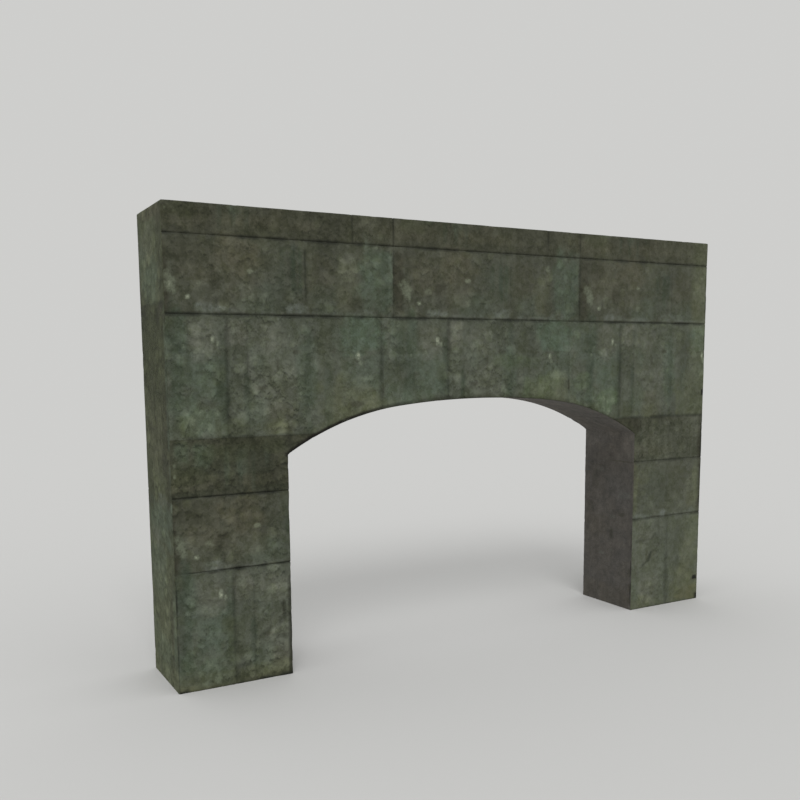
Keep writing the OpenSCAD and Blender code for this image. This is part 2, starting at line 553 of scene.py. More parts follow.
def keepSharp(mesh, levels, spans):
    # the lower side turns from a bed to the underside of the opening, and the shading breaks there
    turns = np.nonzero(np.diff(spans))[0]
    if len(turns) == 0:
        return
    columns = [levels[:, turn + int(spans[turn + 1] > spans[turn])].tolist() for turn in turns]
    pairs = {tuple(sorted(pair)) for column in columns for pair in zip(column[:-1], column[1:])}
    ends = np.empty(2 * len(mesh.edges), np.int32)
    mesh.edges.foreach_get("vertices", ends)
    sharp = mesh.attributes.get("sharp_edge") or mesh.attributes.new("sharp_edge", "BOOLEAN", "EDGE")
    for index, pair in enumerate(ends.reshape(-1, 2).tolist()):
        if tuple(sorted(pair)) in pairs:
            sharp.data[index].value = True


def makeBlock(name, kinds):
    x, z, found = outlineOf(name)
    nx, nz = x.shape
    faceCount = nx * nz
    lines = depthLines()
    ringX, ringZ = ringOf(nx, nz)
    ringCount = len(ringX)

    # every point: its place in the outline, and its depth from the nearer face
    column = np.concatenate([np.repeat(np.arange(nx), nz)] * 2 + [np.tile(ringX, len(lines))])
    row = np.concatenate([np.tile(np.arange(nz), nx)] * 2 + [np.tile(ringZ, len(lines))])
    faceDepths = np.repeat((0, 2 * wallFace), faceCount)
    depth = np.concatenate([faceDepths, np.repeat(lines, ringCount)])
    onRing = np.arange(len(depth)) >= 2 * faceCount
    front = depth < wallFace
    inward = np.where(front, depth, 2 * wallFace - depth)
    flatX, flatZ = x[column, row], z[column, row]
    points = np.stack([flatX, depth - wallFace, flatZ], -1)
    sides = [{k: v[column, row] for k, v in side.items()} for side in sidesOf(x, z, kinds)]

    relief = reliefAt(points)
    recess, shift = edgeWear(points, flatX, flatZ, inward, sides, relief)
    crackMark = cutCracks(points, flatX, flatZ, ~onRing, found, recess, shift)
    fade = blockMesh["recessFade"]
    squeezed = np.where(inward < fade, recess + inward * (1 - recess / fade), inward)
    squeezed = squeezed - relief * (1 - rise(inward, 0, blockMesh["reliefFade"]))
    points[:, 1] = np.where(front, squeezed - wallFace, wallFace - squeezed)
    points[:, 0] += shift[:, 0]
    points[:, 2] += shift[:, 1]
    points[flatZ < hair, 2] = 0

    rim = ringX * nz + ringZ
    rings = 2 * faceCount + np.arange(len(lines) * ringCount).reshape(-1, ringCount)
    levels = np.vstack([rim, rings, rim + faceCount])
    quads = quadsOf(nx, nz, levels)

    # the ends and the top of the wall are stone, and every other side of a block is bare cement
    middleX = (flatX[rim] + flatX[np.roll(rim, -1)]) / 2
    middleZ = (flatZ[rim] + flatZ[np.roll(rim, -1)]) / 2
    stone = (np.abs(middleX) > wallEnd - hair) | (middleZ > wallTop - hair)
    faces = np.zeros(2 * (nx - 1) * (nz - 1), int)
    cement = np.concatenate([faces, np.tile(1 - stone.astype(int), len(lines) + 1)])

    mesh = bpy.data.meshes.new("stone_" + name)
    mesh.from_pydata(points.tolist(), [], quads.tolist())
    mesh.polygons.foreach_set("material_index", cement.astype(np.int32))
    mesh.shade_smooth()
    mesh.set_sharp_from_angle(angle=math.radians(blockMesh["sharpAngle"]))
    keepSharp(mesh, levels, sides[2]["jamb"][2 * faceCount:2 * faceCount + nx])
    addWeathering(mesh, Surface(points, flatX, flatZ, onRing, inward, sides, crackMark))
    block = bpy.data.objects.new("stone_" + name, mesh)
    bpy.context.collection.objects.link(block)
    return block


def fromScreen(*parts):
    # a screen colour from 0 to 255 as linear light
    c = np.array(parts, float) / 255
    return np.where(c < 0.04045, c / 12.92, ((c + 0.055) / 1.055) ** 2.4)


colours = {
    "mossy": fromScreen(76, 80, 69),
    "brown": fromScreen(69, 71, 60),
    "dark": fromScreen(56, 58, 46),
    "coping": fromScreen(63, 64, 52),
    "cement": fromScreen(77, 75, 71),
    "cementWarm": fromScreen(75, 72, 65),
    "teal": fromScreen(78, 89, 76),
    "warm": fromScreen(77, 75, 60),
    "cool": fromScreen(67, 71, 60),
    "yellow": fromScreen(85, 88, 68),
    "lilac": fromScreen(89, 91, 80),
    "streak": fromScreen(57, 65, 53),
    "soil": fromScreen(56, 56, 45),
    "salt": fromScreen(94, 99, 92),
    "pale": fromScreen(106, 114, 95),
    "dirt": fromScreen(30, 32, 25),
    "strip": fromScreen(91, 95, 74),
    "dryStone": fromScreen(83, 86, 75),
    "endFace": fromScreen(79, 83, 62),
    "rim": fromScreen(20, 18, 13),
    "lichen": fromScreen(147, 152, 132),
    "freshMoss": fromScreen(80, 91, 75),
    "brightMoss": fromScreen(84, 97, 72),
    "moss": fromScreen(62, 66, 46),
    "crust": fromScreen(54, 56, 41),
    "ochre": fromScreen(97, 95, 68),
    "black": fromScreen(26, 26, 20),
}

# Marks that repeat along and up the wall, by the colour they take:
# along, up, half length, half height, strength. Beds lie at 0, 1.51, 2.45 and 3.17.
marks = {
    "teal": (
        (1.86, 1.26, 0.34, 0.24, 0.95), (2.38, 1.22, 0.12, 0.28, 0.45), (2.92, 0.72, 0.27, 0.30, 0.55),
        (1.05, 0.72, 0.14, 0.50, 0.40), (1.95, 0.70, 0.32, 0.24, 0.35), (0.45, 1.70, 0.34, 0.17, 0.35),
        (1.45, 1.70, 0.35, 0.17, 0.28), (2.30, 0.35, 0.22, 0.30, 0.40), (2.09, 1.98, 0.26, 0.48, 0.62),
        (2.08, 0.92, 0.16, 0.14, 0.40), (2.62, 1.10, 0.08, 0.40, 0.50), (2.60, 0.55, 0.07, 0.40, 0.35),
        (2.82, 0.95, 0.20, 0.14, 0.45), (0.15, 2.88, 0.08, 0.20, 0.22), (0.40, 0.98, 0.10, 0.20, 0.25),
    ),
    "lilac": (
        (0.13, 1.29, 0.13, 0.18, 0.85), (2.90, 1.22, 0.18, 0.22, 0.60), (0.52, 1.22, 0.22, 0.20, 0.50),
        (0.66, 0.55, 0.28, 0.40, 0.35), (1.66, 2.12, 0.14, 0.20, 0.30), (2.88, 1.02, 0.12, 0.10, 0.55),
        (0.44, 1.15, 0.10, 0.09, 0.45), (0.62, 0.32, 0.14, 0.12, 0.40), (0.32, 0.86, 0.10, 0.16, 0.30),
        (2.83, 0.28, 0.20, 0.10, 0.15), (2.90, 0.10, 0.08, 0.11, 0.15),
        (2.98, 1.88, 0.10, 0.05, 0.30), (0.24, 1.80, 0.14, 0.10, 0.30),
    ),
    "warm": (
        (0.14, 2.22, 0.32, 0.24, 0.60), (0.18, 1.86, 0.25, 0.22, 0.30), (1.28, 2.02, 0.22, 0.30, 0.25),
        (1.61, 1.74, 0.10, 0.14, 0.45), (2.86, 2.12, 0.30, 0.28, 0.40), (0.70, 0.20, 0.20, 0.20, 0.30),
        (2.60, 2.62, 0.50, 0.10, 0.30), (0.60, 2.62, 0.60, 0.08, 0.30), (0.68, 2.78, 0.12, 0.18, 0.25),
    ),
    "cool": (
        (0.84, 1.94, 0.24, 0.40, 0.70), (0.70, 1.68, 0.22, 0.15, 0.35), (1.42, 1.16, 0.14, 0.34, 0.50),
        (2.42, 0.70, 0.12, 0.50, 0.35), (0.62, 1.92, 0.14, 0.24, 0.30),
    ),
    "yellow": (
        (1.72, 0.30, 0.46, 0.36, 0.70), (2.14, 0.18, 0.22, 0.22, 0.40), (0.62, 0.10, 0.16, 0.12, 0.55),
        (2.90, 0.26, 0.26, 0.15, 0.10), (1.66, 1.90, 0.16, 0.32, 0.30),
    ),
    "streak": (
        (2.57, 0.86, 0.085, 0.70, 0.80), (2.55, 1.12, 0.17, 0.38, 0.55), (3.15, 0.56, 0.055, 0.62, 0.75),
        (0.25, 0.50, 0.040, 0.38, 0.75),
        (1.07, 0.78, 0.050, 0.72, 0.60), (2.20, 1.98, 0.060, 0.40, 0.45), (0.90, 2.02, 0.045, 0.30, 0.75),
        (0.99, 2.05, 0.030, 0.28, 0.70), (0.75, 2.05, 0.035, 0.22, 0.55), (1.36, 0.42, 0.07, 0.40, 0.50),
        (0.30, 2.80, 0.030, 0.30, 0.40), (0.48, 2.96, 0.026, 0.20, 0.60), (3.15, 2.84, 0.035, 0.28, 0.50),
        (0.13, 2.80, 0.030, 0.26, 0.50), (2.58, 1.24, 0.035, 0.26, 0.45), (3.09, 0.42, 0.035, 0.34, 0.45),
    ),
    "soil": (
        (2.42, 1.98, 0.085, 0.44, 0.95), (3.08, 1.88, 0.09, 0.11, 0.65), (2.62, 2.27, 0.24, 0.14, 0.50),
        (1.78, 1.66, 0.11, 0.11, 0.50), (1.76, 0.36, 0.085, 0.035, 0.70), (0.66, 0.90, 0.020, 0.10, 0.60),
        (0.44, 0.60, 0.070, 0.020, 0.60), (0.92, 1.05, 0.055, 0.030, 0.60),
        (1.45, 1.05, 0.030, 0.030, 0.60),
        (2.165, 0.55, 0.016, 0.085, 0.8), (1.30, 3.12, 1.60, 0.05, 0.50), (2.90, 3.10, 0.40, 0.04, 0.60),
        (1.76, 1.04, 0.40, 0.018, 0.35), (1.90, 0.54, 0.30, 0.016, 0.25), (2.70, 2.00, 0.20, 0.018, 0.40),
        (0.30, 0.14, 0.12, 0.05, 0.30), (2.70, 0.10, 0.10, 0.10, 0.40), (0.70, 0.56, 0.06, 0.020, 0.40),
    ),
    "freshMoss": (
        (2.86, 0.20, 0.24, 0.19, 0.60), (2.62, 0.40, 0.16, 0.12, 0.40), (2.86, 2.96, 0.13, 0.15, 0.50),
        (2.60, 3.00, 0.10, 0.14, 0.40), (0.34, 0.30, 0.16, 0.20, 0.25),
    ),
    "moss": (
        (3.00, 3.00, 0.16, 0.10, 0.50), (2.66, 2.72, 0.22, 0.10, 0.40), (0.10, 2.98, 0.20, 0.12, 0.35),
        (0.60, 3.06, 0.16, 0.10, 0.45), (0.10, 0.12, 0.16, 0.10, 0.45), (2.70, 0.14, 0.12, 0.12, 0.45),
        (3.10, 0.78, 0.08, 0.12, 0.40), (0.30, 0.44, 0.06, 0.12, 0.30), (0.62, 0.62, 0.10, 0.05, 0.30),
        (1.80, 0.12, 0.30, 0.08, 0.35), (1.30, 1.20, 0.10, 0.20, 0.30), (2.46, 1.40, 0.10, 0.08, 0.30),
    ),
    "salt": (
        (0.95, 1.585, 0.14, 0.060, 0.60), (1.92, 1.560, 0.13, 0.038, 0.42),
        (2.95, 1.575, 0.12, 0.060, 0.62),
        (0.30, 1.545, 0.36, 0.024, 0.34), (3.13, 1.560, 0.08, 0.035, 0.45),
        (1.42, 1.542, 0.46, 0.018, 0.32),
        (2.62, 0.98, 0.30, 0.05, 0.20),
    ),
}

# How far large lumps, washed streaks, fine grain and clouds change the tone
toneChange = {
    "broad": 0.30,
    "wash": 0.32,
    "copingWash": 0.50,
    "endGrain": 0.4,
    "cloud": 0.28,
    "waver": 0.30,        # metres, how far the edges of the larger areas wander
}


class Surface:
    # where the points of one block lie, and the noises that its weathering shares
    def __init__(self, points, flatX, flatZ, onRing, inward, sides, crackMark):
        self.points, self.x, self.z = points, flatX, flatZ
        self.inward, self.sides, self.crackMark = inward, sides, crackMark
        self.onFace = ~onRing
        self.onEnd = onRing & (np.abs(flatX) > wallEnd - hair)
        self.onTop = onRing & (flatZ > wallTop - hair) & ~self.onEnd
        self.onJamb = onRing & ~self.onEnd & ~self.onTop
        self.onCoping = flatZ > beds["coping"]
        belowArch = (flatZ < beds["arch"] - hair) & self.onFace
        self.onRightPier = (flatX > rightPier["start"]) & belowArch
        self.fromFront = wallFace + points[:, 1]
        self.ragged = noiseAt(points, "ragged") - 0.5
        self.wash = noiseAt(points, "wash") - 0.5
        self.fleck = noiseAt(points, "fleck")
        self.spotty = noiseAt(points, "spotty")
        self.waver = toneChange["waver"] * (noiseAt(points, "waver") - 0.5)
        self.dry = rise(flatX + self.waver, *rightPier["dryEdge"]) * belowArch
        endAlong = -(points[:, 1] - repeat["endStart"]) / repeat["endScale"]
        self.along = np.where(self.onEnd, endAlong, flatX - repeat["start"])
        self.up = np.mod(np.where(self.onEnd, flatZ / repeat["endScale"], flatZ), repeat["up"])


def wrapAlong(distance):
    return (distance + repeat["along"] / 2) % repeat["along"] - repeat["along"] / 2


def spotMask(sideways, upright, spot, ragged, blunt=3, fading=(0.65, 1.30)):
    # a blunt oval with ragged edges
    halfLength, halfHeight, strength = spot[2:]
    across, upward = np.abs(sideways) / halfLength, np.abs(upright) / halfHeight
    reach = (across ** blunt + upward ** blunt) ** (1 / blunt)
    return strength * (1 - rise(reach + ragged * 1.2, *fading))


def mixTo(base, colour, share):
    return base + (colour - base) * share[:, None]


# How much of the greener marks each place has, where the faces have all of them
muted = ("teal", "lilac", "streak", "moss")
mutedTo = {"end": 0.20, "rightPier": 0.35}

# How broken the marks are: the plain share, and how far the washed streaks tear them
tearing = {"streak": (0.25, 1.0), "other": (0.45, 0.5)}


def addMarks(s, tone, groups, along, up, repeats=False, mute=1.0):
    # colours the tone by each group of marks, and gives the share of lime salt
    salt = np.zeros(len(along))
    for name, spots in groups.items():
        share = np.zeros(len(along))
        for spot in spots:
            away = wrapAlong(along - spot[0]) if repeats else along - spot[0]
            share = np.maximum(share, spotMask(away, up - spot[1], spot, s.ragged))
        share = share * (mute if name in muted else 1)
        plain, washed = tearing.get(name, tearing["other"])
        share = np.clip(share * (plain + s.fleck + washed * s.wash), 0, 1)
        if name == "salt":
            share = share * rise(s.fleck, 0.05, 0.50)
            salt = share
        tone = mixTo(tone, colours[name], share)
    return tone, salt


def courseTone(s):
    # the colour of the course that each point lies in, made uneven by large lumps and washed streaks
    soft = 0.004
    first = rise(s.up, beds["middle"] - soft, beds["middle"] + soft)
    second = rise(s.up, beds["springer"] - soft, beds["springer"] + soft)
    tone = mixTo(np.tile(colours["mossy"], (len(s.up), 1)), colours["brown"], first)
    tone = mixTo(tone, colours["dark"], second)
    tone = mixTo(tone, colours["coping"], (s.z > beds["coping"] - hair) & ~s.onEnd)
    grain = noiseAt(s.points[s.onEnd], "endGrain") - 0.5
    tone[s.onEnd] = colours["endFace"] * (1 + toneChange["endGrain"] * grain)[:, None]
    wash = np.where(s.onCoping, toneChange["copingWash"], toneChange["wash"]) * s.wash
    broad = noiseAt(s.points, "broad") - 0.5
    return tone * (1 + toneChange["broad"] * broad + wash)[:, None]


# Pale growths, given in the same way. Those over 1 turn white at the middle.
growths = (
    (1.795, 0.990, 0.028, 0.050, 1.65), (1.825, 0.90, 0.030, 0.045, 0.95), (1.93, 0.70, 0.150, 0.050, 0.80),
    (2.07, 0.74, 0.040, 0.030, 0.65), (3.025, 1.20, 0.026, 0.046, 1.75),
    (3.085, 1.15, 0.020, 0.028, 1.30), (2.82, 1.03, 0.060, 0.060, 0.60),
    (2.74, 0.22, 0.050, 0.055, 0.75), (2.85, 0.31, 0.055, 0.045, 0.75), (2.96, 0.12, 0.048, 0.070, 0.80),
    (3.05, 0.30, 0.045, 0.045, 0.70), (2.80, 0.08, 0.045, 0.050, 0.65), (2.64, 0.34, 0.045, 0.045, 0.60),
    (2.94, 0.27, 0.040, 0.040, 0.60), (2.86, 0.18, 0.040, 0.035, 0.60),
    (0.10, 1.32, 0.070, 0.110, 0.50), (0.48, 1.16, 0.060, 0.070, 0.65),
    (0.33, 1.28, 0.050, 0.060, 0.45), (0.62, 1.30, 0.060, 0.050, 0.45), (0.70, 1.20, 0.060, 0.050, 0.45),
    (0.45, 0.90, 0.070, 0.070, 0.40), (0.40, 0.66, 0.080, 0.070, 0.45), (0.66, 0.68, 0.060, 0.050, 0.50),
    (0.95, 0.50, 0.050, 0.080, 0.60), (0.90, 0.76, 0.070, 0.070, 0.35), (2.28, 1.00, 0.035, 0.050, 0.60),
    (2.19, 0.76, 0.025, 0.200, 0.50), (0.18, 0.45, 0.050, 0.060, 0.40), (0.28, 0.25, 0.050, 0.070, 0.40),
    (0.33, 2.03, 0.045, 0.026, 1.20), (0.34, 1.72, 0.050, 0.060, 0.60), (2.50, 1.95, 0.080, 0.070, 0.80),
    (2.54, 1.86, 0.070, 0.090, 1.00), (2.58, 1.77, 0.034, 0.050, 0.90),
    (2.735, 1.705, 0.028, 0.024, 1.75), (2.88, 1.86, 0.065, 0.045, 0.60),
    (2.07, 2.41, 0.055, 0.030, 0.75), (1.73, 2.25, 0.055, 0.050, 0.65), (1.62, 2.00, 0.050, 0.060, 0.45),
    (2.12, 1.66, 0.060, 0.060, 0.50), (1.70, 1.98, 0.060, 0.050, 0.40), (0.05, 1.75, 0.080, 0.060, 0.40),
    (2.30, 2.36, 0.020, 0.030, 0.50), (2.50, 2.86, 0.020, 0.030, 0.80), (2.50, 2.72, 0.018, 0.025, 0.80),
    (1.70, 3.00, 0.150, 0.100, 0.50), (1.50, 2.58, 0.080, 0.050, 0.35), (0.95, 2.66, 0.060, 0.080, 0.30),
    (2.06, 2.62, 0.100, 0.060, 0.35), (2.60, 1.00, 0.030, 0.030, 0.70), (2.66, 1.12, 0.030, 0.030, 0.60),
    (2.24, 0.26, 0.090, 0.060, 0.65), (2.38, 0.14, 0.080, 0.060, 0.60), (1.66, 0.52, 0.080, 0.060, 0.50),
    (1.60, 0.16, 0.100, 0.060, 0.50), (1.98, 0.40, 0.060, 0.050, 0.55), (2.12, 0.12, 0.070, 0.050, 0.45),
)

# Growths have softer edges than the marks
growthShape = {"ragged": 1.3, "blunt": 2, "fading": (0.0, 2.0)}

# How many of them each place has, where the faces have all of them
growthsTo = {"end": 0.3, "rightPier": 0.3}


def growthAt(s):
    keep = np.where(s.onEnd, growthsTo["end"], np.where(s.onRightPier, growthsTo["rightPier"], 1.0))
    keep = np.where(s.onTop, 0, keep)
    growth = np.zeros(len(s.x))
    ragged, blunt, fading = growthShape["ragged"] * s.ragged, growthShape["blunt"], growthShape["fading"]
    for spot in growths:
        mask = spotMask(wrapAlong(s.along - spot[0]), s.up - spot[1], spot, ragged, blunt, fading)
        growth = np.maximum(growth, mask * keep)
    return growth


# Marks that lie at one place on the faces, most of them on the right pier:
# place along the wall and height, half length, half height, strength
ownMarks = {
    "dark": (
        (-4.20, 5.42, 0.30, 0.17, 0.45), (-3.85, 5.05, 0.10, 0.07, 0.40), (-3.22, 5.32, 0.08, 0.08, 0.35),
        (-2.93, 5.28, 0.06, 0.12, 0.40), (-4.25, 2.26, 0.22, 0.16, 0.45), (3.62, 2.12, 0.42, 0.26, 0.25),
    ),
    "crust": (
        (-3.38, 5.69, 0.32, 0.08, 0.45), (-2.08, 5.78, 0.06, 0.11, 0.45), (-3.45, 3.08, 0.42, 0.09, 0.50),
        (-3.65, 5.77, 0.018, 0.09, 0.60), (-3.90, 5.52, 0.016, 0.10, 0.60),
    ),
    "moss": (
        (-3.76, 0.55, 0.11, 0.34, 0.40), (-3.90, 3.30, 0.05, 0.12, 0.45), (-4.10, 3.42, 0.06, 0.04, 0.35),
        (-4.38, 3.35, 0.05, 0.12, 0.30),
    ),
    "yellow": (
        (4.22, 0.26, 0.34, 0.34, 0.52), (4.26, 0.90, 0.22, 0.45, 0.50), (4.38, 1.30, 0.12, 0.25, 0.50),
        (4.08, 0.10, 0.18, 0.10, 0.45), (3.06, 2.10, 0.03, 0.12, 0.40), (-3.70, 0.10, 0.90, 0.13, 0.45),
    ),
    "cool": (
        (3.98, 1.12, 0.20, 0.16, 0.60), (3.92, 0.84, 0.14, 0.24, 0.50), (3.56, 1.14, 0.14, 0.07, 0.45),
        (3.76, 0.42, 0.06, 0.45, 0.60), (4.30, 3.50, 0.22, 0.30, 0.50), (3.90, 0.66, 0.12, 0.12, 0.35),
        (3.66, 1.92, 0.40, 0.30, 0.35),
    ),
    "lilac": (
        (3.28, 1.22, 0.18, 0.12, 0.50), (3.36, 0.40, 0.22, 0.12, 0.45), (3.10, 0.90, 0.10, 0.20, 0.30),
        (4.32, 2.90, 0.14, 0.08, 0.50), (3.68, 3.06, 0.07, 0.04, 0.50), (4.30, 3.10, 0.10, 0.04, 0.40),
        (3.44, 2.79, 0.10, 0.08, 0.55), (3.12, 1.42, 0.10, 0.06, 0.30), (3.46, 0.92, 0.05, 0.06, 0.40),
        (4.02, 2.62, 0.15, 0.07, 0.35),
    ),
    "brightMoss": (
        (2.38, 3.46, 0.20, 0.17, 0.36), (1.06, 3.68, 0.36, 0.22, 0.26), (1.90, 3.78, 0.16, 0.14, 0.35),
        (0.60, 4.08, 0.40, 0.10, 0.25),
    ),
    "strip": (
        (4.36, 1.96, 0.075, 0.44, 0.45), (3.03, 1.88, 0.030, 0.26, 0.25), (3.16, 2.22, 0.14, 0.14, 0.25),
    ),
    "salt": (
        (3.64, 1.560, 0.055, 0.050, 1.30), (3.12, 1.550, 0.16, 0.030, 0.50), (4.32, 1.58, 0.08, 0.05, 0.4),
    ),
    "soil": (
        (4.46, 2.55, 0.07, 0.24, 0.80), (4.45, 3.00, 0.04, 0.20, 0.50), (4.47, 1.95, 0.035, 0.42, 0.45),
        (4.45, 1.62, 0.07, 0.10, 0.45), (4.43, 0.38, 0.06, 0.035, 1.00), (4.47, 0.05, 0.05, 0.05, 1.00),
        (3.10, 2.62, 0.10, 0.16, 0.35), (3.62, 2.03, 0.06, 0.10, 0.35), (3.20, 3.00, 0.20, 0.12, 0.25),
        (2.86, 3.04, 0.28, 0.14, 0.95),
    ),
    "ochre": ((4.28, 0.14, 0.22, 0.14, 0.38), (4.10, 0.09, 0.12, 0.05, 0.35)),
    "black": (
        (4.43, 0.385, 0.058, 0.038, 1.40), (4.48, 0.05, 0.045, 0.055, 1.30),
        (4.47, 3.55, 0.028, 0.050, 1.20),
        (4.475, 2.90, 0.020, 0.140, 0.75), (4.475, 2.55, 0.026, 0.140, 0.75),
        (4.48, 2.20, 0.014, 0.140, 0.60),
        (4.475, 1.70, 0.018, 0.120, 0.65), (4.48, 5.10, 0.016, 0.300, 0.40),
        (4.48, 4.30, 0.012, 0.200, 0.40),
    ),
}

# The right pier and a strip above it are drier and paler.
rightPier = {
    "start": 2.9,
    "dryEdge": (2.7, 3.1),
    "paler": 0.12,
    "springerPaler": 0.30,
    "dryStone": 0.35,
    "stripEdge": (4.06, 4.34),
    "strip": 0.42,
}

# The foot of the wall is yellow, and splashed with ochre and soil on the left.
foot = {
    "yellowEdge": (0.02, 0.20),
    "yellow": 0.40,
    "splashEdge": (0.01, 0.11),
    "ochre": 0.45,
    "soil": (0.42, 0.70),
}


def faceTone(s, tone):
    # what lies at one place of the faces only, and the lime salt there
    strip = rise(s.x + s.waver, *rightPier["stripEdge"]) * s.onFace * (s.z > beds["arch"])
    tone = mixTo(tone, colours["strip"], rightPier["strip"] * strip)
    paler = np.where(s.z > beds["springer"], rightPier["springerPaler"], rightPier["paler"])
    tone = tone * (1 + s.dry * paler)[:, None]
    tone = mixTo(tone, colours["dryStone"], rightPier["dryStone"] * s.dry)
    yellow = (1 - rise(s.z + s.waver, *foot["yellowEdge"])) * s.onFace
    tone = mixTo(tone, colours["yellow"], foot["yellow"] * yellow)
    splashed = (1 - rise(s.z + 0.5 * s.waver, *foot["splashEdge"])) * (s.x < 0) * s.onFace
    tone = mixTo(tone, colours["ochre"], foot["ochre"] * splashed)
    tone = mixTo(tone, colours["soil"], splashed * rise(s.spotty, *foot["soil"]))
    marked, salt = addMarks(s, tone, ownMarks, s.x, s.z)
    return np.where(s.onFace[:, None], marked, tone), salt


# Marks of the end faces: distance from the front face, height, half length, half height, strength
endMarks = {
    "soil": (
        (0.10, 4.70, 0.22, 0.10, 0.95), (0.33, 2.28, 0.13, 0.028, 0.45), (1.02, 2.30, 0.13, 0.035, 0.45),
        (0.60, 0.79, 0.50, 0.020, 0.35), (0.98, 0.79, 0.06, 0.030, 0.40), (0.05, 5.40, 0.16, 0.50, 0.12),
        (0.13, 1.40, 0.022, 0.22, 0.55), (0.18, 1.05, 0.022, 0.22, 0.60), (0.235, 0.65, 0.024, 0.26, 0.60),
        (0.20, 0.32, 0.022, 0.18, 0.55), (1.13, 5.20, 0.05, 0.60, 0.30), (0.15, 5.62, 0.10, 0.02, 0.40),
    ),
    "moss": (
        (0.60, 4.25, 0.70, 0.50, 0.90), (0.60, 3.52, 0.70, 0.22, 0.45), (1.10, 1.62, 0.10, 0.12, 0.70),
        (0.30, 4.45, 0.30, 0.25, 0.40),
        (0.70, 3.80, 0.50, 0.12, 0.35), (1.05, 2.85, 0.16, 0.30, 0.35), (0.10, 3.60, 0.10, 0.50, 0.40),
    ),
    "teal": (
        (0.05, 3.75, 0.05, 0.80, 0.50), (0.07, 0.85, 0.08, 0.55, 0.45), (0.75, 1.50, 0.40, 0.40, 0.45),
        (0.50, 2.05, 0.55, 0.28, 0.55),
    ),
    "yellow": (
        (0.60, 0.12, 0.60, 0.16, 0.65), (0.70, 1.00, 0.60, 0.55, 0.35), (0.80, 3.30, 0.45, 0.40, 0.35),
        (0.75, 0.45, 0.45, 0.25, 0.30),
        (0.60, 2.90, 0.40, 0.25, 0.30),
    ),
    "warm": ((0.55, 5.90, 0.60, 0.08, 0.60), (0.12, 5.84, 0.15, 0.12, 0.40)),
    "lilac": ((0.86, 1.86, 0.22, 0.13, 0.60), (0.80, 5.55, 0.35, 0.20, 0.30)),
}

# How light the end faces are at each height
endShade = {
    "heights": (1.90, 2.30, 2.60, 3.50, 4.45, 4.80, 4.84),
    "shares": (0.95, 0.75, 0.85, 0.65, 0.40, 0.40, 0.90),
    "front": 0.22,        # how much darker they are towards the front
    "frontEdge": (0.08, 0.40),
}


def endTone(s, tone):
    # the end faces darken towards the front and from 2 m up, with a clear edge at the frieze
    shade = np.interp(s.z, endShade["heights"], endShade["shares"])
    shade = shade * (1 - endShade["front"] * (1 - rise(s.fromFront, *endShade["frontEdge"])))
    return addMarks(s, tone * shade[:, None], endMarks, s.fromFront, s.z)[0]


# Marks of the jambs, placed in the same way
jambMarks = {
    "soil": (
        (0.27, 1.56, 0.07, 0.030, 0.55), (0.49, 1.21, 0.026, 0.08, 0.70), (0.30, 2.44, 0.30, 0.012, 0.40),
        (0.80, 2.33, 0.22, 0.014, 0.25), (0.045, 0.60, 0.014, 0.07, 0.70), (0.045, 0.35, 0.014, 0.05, 0.60),
        (0.05, 0.15, 0.014, 0.07, 0.70), (1.05, 1.60, 0.12, 0.10, 0.25), (0.70, 1.46, 0.16, 0.02, 0.30),
        (0.90, 2.10, 0.10, 0.16, 0.20), (0.50, 2.66, 0.16, 0.02, 0.20),
    ),
    "salt": (
        (0.45, 1.50, 0.07, 0.03, 0.30), (0.73, 0.84, 0.05, 0.02, 0.40), (0.76, 2.26, 0.05, 0.03, 0.30),
        (0.20, 1.88, 0.12, 0.05, 0.25), (0.50, 0.92, 0.06, 0.02, 0.25),
    ),
    "black": (
        (0.02, 0.24, 0.012, 0.20, 0.90), (0.02, 0.70, 0.010, 0.14, 0.70), (0.02, 1.16, 0.010, 0.12, 0.45),
    ),
    "cementWarm": (
        (0.60, 0.14, 0.60, 0.20, 0.70), (0.85, 1.30, 0.30, 0.20, 0.50), (0.20, 0.50, 0.15, 0.30, 0.40),
    ),
}

# Painted light: how much paler the jambs and the underside of the arch are made towards the arch, where the
# arch shades them, by colour channel
jambPaintedLight = {
    "heights": (2.3, 2.9),
    "shares": (0.45, 0.43, 0.42),
}


def cementTone(s):
    # bare cement, with painted light that makes it paler towards the arch, where the arch shades it
    paler = rise(s.z, *jambPaintedLight["heights"])[:, None] * jambPaintedLight["shares"]
    cement = np.tile(colours["cement"], (len(s.x), 1)) * (1 + paler)
    return addMarks(s, cement, jambMarks, s.fromFront, s.z)[0]


def fromOpening(flatX, flatZ):
    # how far a point of the front lies from the edge of the opening
    step = 0.01
    slope = (archHeights(flatX + step) - archHeights(flatX - step)) / (2 * step)
    above = (flatZ - archHeights(flatX)) / np.hypot(1, slope)
    beside = np.abs(flatX) - arch["halfSpan"]
    around = np.hypot(np.maximum(beside, 0), np.maximum(flatZ - arch["springing"], 0))
    return np.where(beside > -hair, around, np.maximum(above, 0))


# The dark rim of the opening, along the arch and up the left pier's foot: dirt, and along the arch also
# painted shade of its arris that faces down
rims = {
    "reach": 0.050,
    "places": (-2.98, -2.00, -1.60, -1.20, -0.60, 0.30, 0.80, 1.80, 2.30),
    "strengths": (1.05, 1.05, 0.75, 0.42, 0.26, 0.12, 0.00, 0.00, 0.00),
    "pier": 0.68,
    "footFade": 0.35,
    "edge": (0.6, 1.25),                # in reaches from the opening
    "line": (1.0, 1.3, 1.5, 2.6),       # the pale band beyond it, a painted highlight, in the same way
    "paintedHighlight": 0.24,
    "patchyReach": (0.8, 0.4),          # plain share, and more where the stone is spotty
    "patchyRim": (0.7, 0.5),
    "jambReach": 0.6,
    "crust": 0.42,                      # dark moss along the rest of the arch
    "crustEdge": (0.025, 0.085),
    "crustRagged": 0.20,
    "crustStart": (-1.6, -0.4),
    "crustBelow": 0.05,                 # how far below the springing it reaches
}


def patchy(s, name):
    plain, more = rims[name]
    return plain + more * s.spotty


